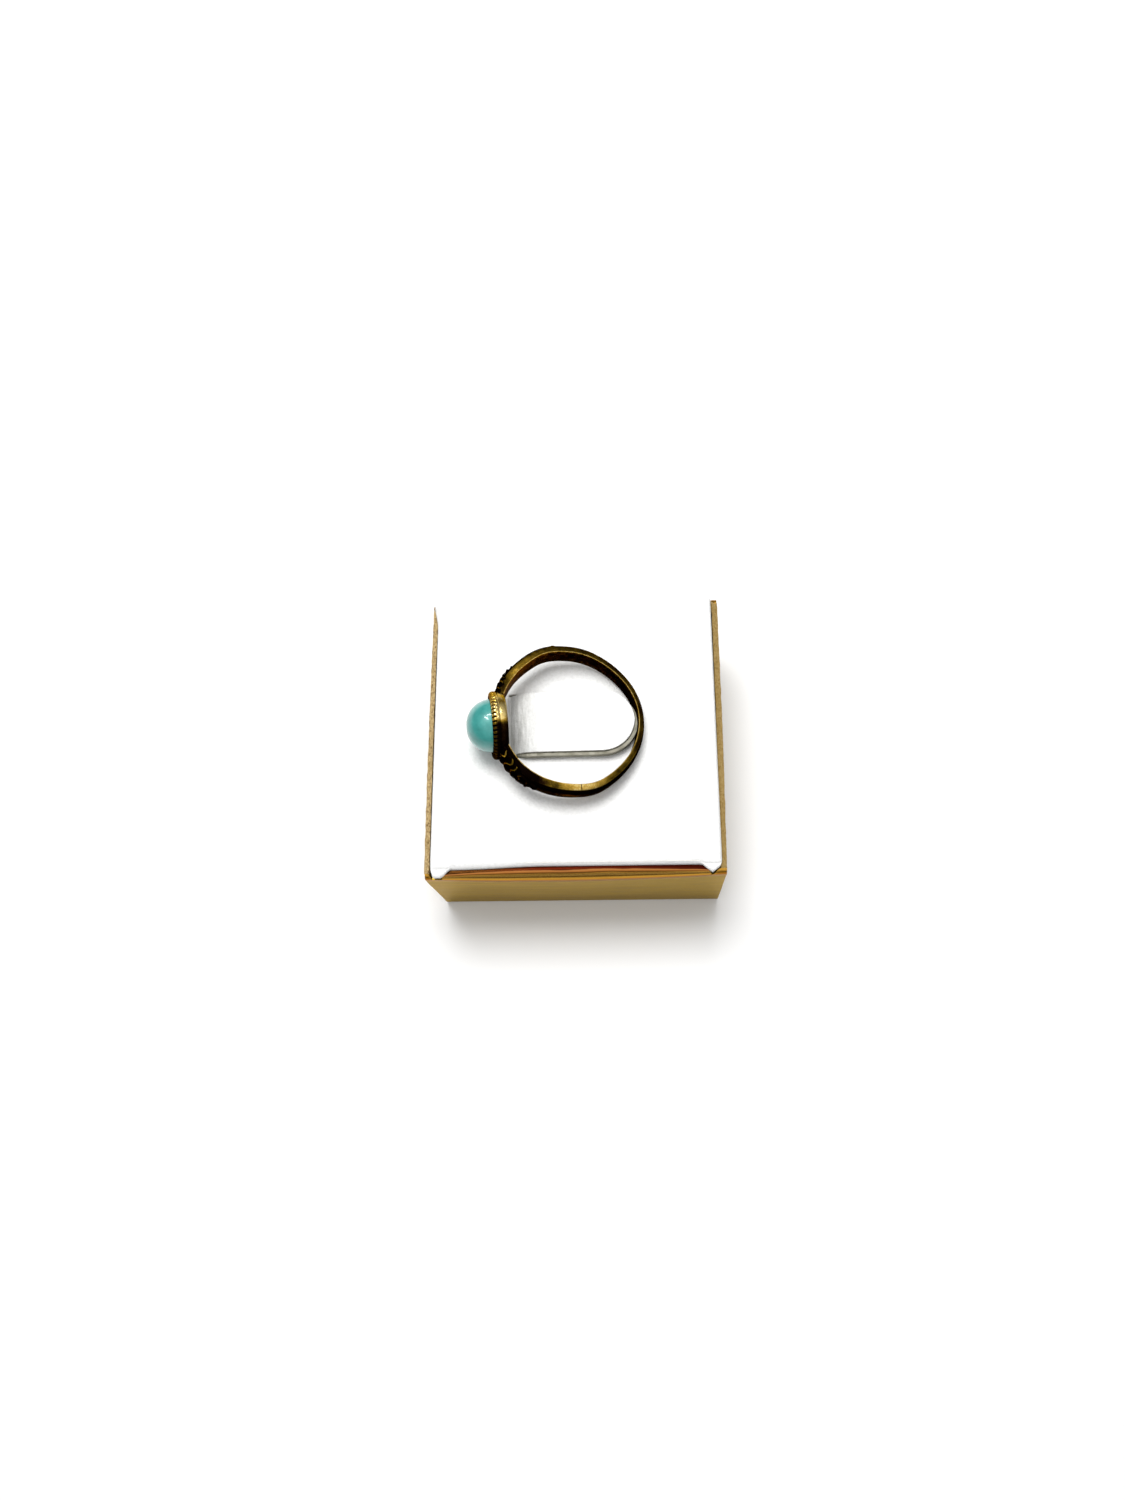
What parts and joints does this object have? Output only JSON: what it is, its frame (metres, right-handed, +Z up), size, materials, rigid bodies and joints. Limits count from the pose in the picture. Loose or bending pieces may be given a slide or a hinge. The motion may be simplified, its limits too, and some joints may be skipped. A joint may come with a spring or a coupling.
{
  "type": "ring box",
  "caption": "Small square gold-foil board tray with a white leatherette insert; a ring with a turquoise cabochon lies round the insert's bent-up flap.",
  "frame": {"origin": "centre of the tray's underside", "axes": "+Z up, +X towards the flap's free end, +Y towards the back wall; the ring's stone points to -X"},
  "size_m": [0.04, 0.039, 0.0305],
  "materials": {
    "gold_board": "brushed gold foil laminate",
    "kraft_board": "raw kraft board",
    "white_card": "matt",
    "white_leatherette": "fine-grained leatherette",
    "white_foam": "open-cell foam",
    "antique_brass": "antique, dark in the recesses, rubbed on the edges",
    "turquoise_stone": "polished"
  },
  "bodies": {
    "tray": {"base_panel": "gold_board", "left_wall": "gold_board", "right_wall": "gold_board", "foam_block": "white_foam", "front_wall": "gold_board", "front_ledge": "gold_board", "front_inner_ply": "gold_board", "back_wall": "gold_board", "back_ledge": "gold_board", "back_inner_ply": "gold_board", "ear_front_left": "kraft_board", "ear_front_right": "kraft_board", "ear_back_left": "kraft_board", "ear_back_right": "kraft_board"},
    "insert": {"insert_card": "white_card", "insert_leg_left": "white_card", "insert_leg_right": "white_card", "insert_cover": "white_leatherette"},
    "flap": {"flap_card": "white_card", "flap_cover": "white_leatherette"},
    "ring": {"ring_shank": "antique_brass", "shoulder_front": "antique_brass", "shoulder_back": "antique_brass", "bezel_cup": "antique_brass", "bezel_collar": "antique_brass", "cabochon": "turquoise_stone"}
  },
  "joints": [
    {"name": "insert_lift", "type": "slide", "parent": "tray", "child": "insert", "axis": [0, 0, 1], "range_m": [0, 0.028]},
    {"name": "flap_flex", "type": "hinge", "parent": "insert", "child": "flap", "pos_m": [-0.0087, 0.00075, 0.0213], "axis": [0, -1, 0], "range_deg": [-8, 40], "stiffness_Nm_per_rad": 0.004},
    {"name": "ring_lift", "type": "slide", "parent": "insert", "child": "ring", "axis": [0, 0, 1], "range_m": [0, 0.03]}
  ]
}
